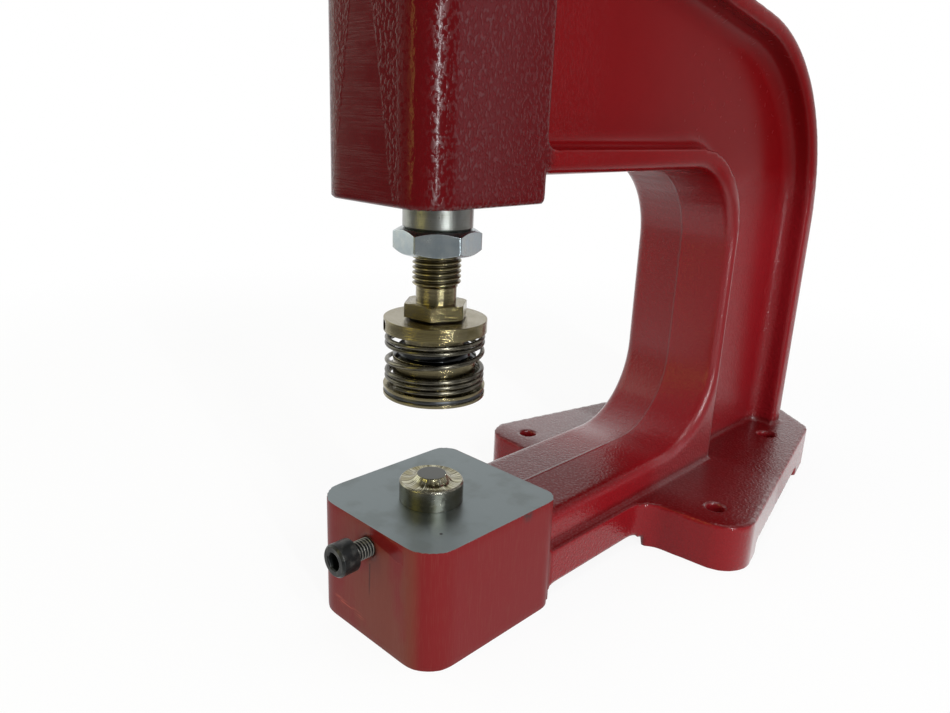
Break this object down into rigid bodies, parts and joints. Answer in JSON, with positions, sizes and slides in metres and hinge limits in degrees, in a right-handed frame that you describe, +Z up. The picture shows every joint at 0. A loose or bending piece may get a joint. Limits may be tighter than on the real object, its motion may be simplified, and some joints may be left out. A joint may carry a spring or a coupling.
{
  "type": "eyelet press",
  "caption": "Bench-mounted hand lever press that sets eyelets: cast C-frame, cam-driven ram, sprung pressure sleeve over the setting punch, and a clamped lower die.",
  "frame": {"origin": "ram axis at the bench plane, under the anvil block", "axes": "+Z up along the ram, +Y from the operator to the column, +X across to the operator's right"},
  "size_m": [0.123, 0.279, 0.536],
  "materials": {
    "frame_enamel": "glossy dark red enamel on rough cast iron, anvil top ground bare",
    "zinc_nut": "bright zinc plate",
    "turned_steel": "turned steel with a warm oil stain",
    "ground_steel": "ground and lightly oiled",
    "spring_steel": "drawn spring wire, dark and bright along its crown",
    "die_steel": "polished flare on a turned die",
    "black_oxide": "black oxide on alloy steel",
    "spring_clip": "phosphated spring steel",
    "bronze": "sintered bronze",
    "cast_lever": "dark red enamel, bright cam face",
    "rod_plate": "bright nickel plate",
    "grip_plastic": "moulded black plastic"
  },
  "bodies": {
    "frame": {"frame_casting": "frame_enamel", "lower_die": "die_steel", "ram_key_screw": "black_oxide", "key_lock_nut": "zinc_nut", "pivot_pin": "ground_steel", "pin_circlips": "spring_clip", "lever_stop_pin": "ground_steel", "return_spring": "spring_steel"},
    "lever": {"cam_lever": "cast_lever", "cam_bush": "bronze", "handle_rod": "rod_plate", "rod_lock_nut": "zinc_nut", "handle_grip": "grip_plastic"},
    "ram": {"ram": "ground_steel", "ram_button": "ground_steel", "spring_collar": "turned_steel", "collar_clip": "spring_clip", "lock_nut": "zinc_nut", "upper_die_holder": "turned_steel", "setting_punch": "turned_steel", "die_spring": "spring_steel"},
    "sleeve": {"pressure_sleeve": "turned_steel"},
    "clamp_screw": {"die_clamp_screw": "black_oxide"}
  },
  "joints": [
    {"name": "lever_swing", "type": "hinge", "parent": "frame", "child": "lever", "pos_m": [0, 0.018, 0.2562], "axis": [1, 0, 0], "range_deg": [0, 82]},
    {"name": "ram_slide", "type": "slide", "parent": "frame", "child": "ram", "axis": [0, 0, -1], "range_m": [0, 0.026], "stiffness_N_per_m": 3000, "springref_m": -0.027, "deforming": ["return_spring"]},
    {"name": "sleeve_slide", "type": "slide", "parent": "ram", "child": "sleeve", "axis": [0, 0, 1], "range_m": [0, 0.0042], "stiffness_N_per_m": 1500, "springref_m": -0.004, "deforming": ["die_spring"]},
    {"name": "clamp_screw_travel", "type": "slide", "parent": "frame", "child": "clamp_screw", "axis": [0, -1, 0], "range_m": [0, 0.005]}
  ],
  "couplings": [
    {"joint": "ram_slide", "follows": "lever_swing", "m_per_rad": 0.018}
  ]
}
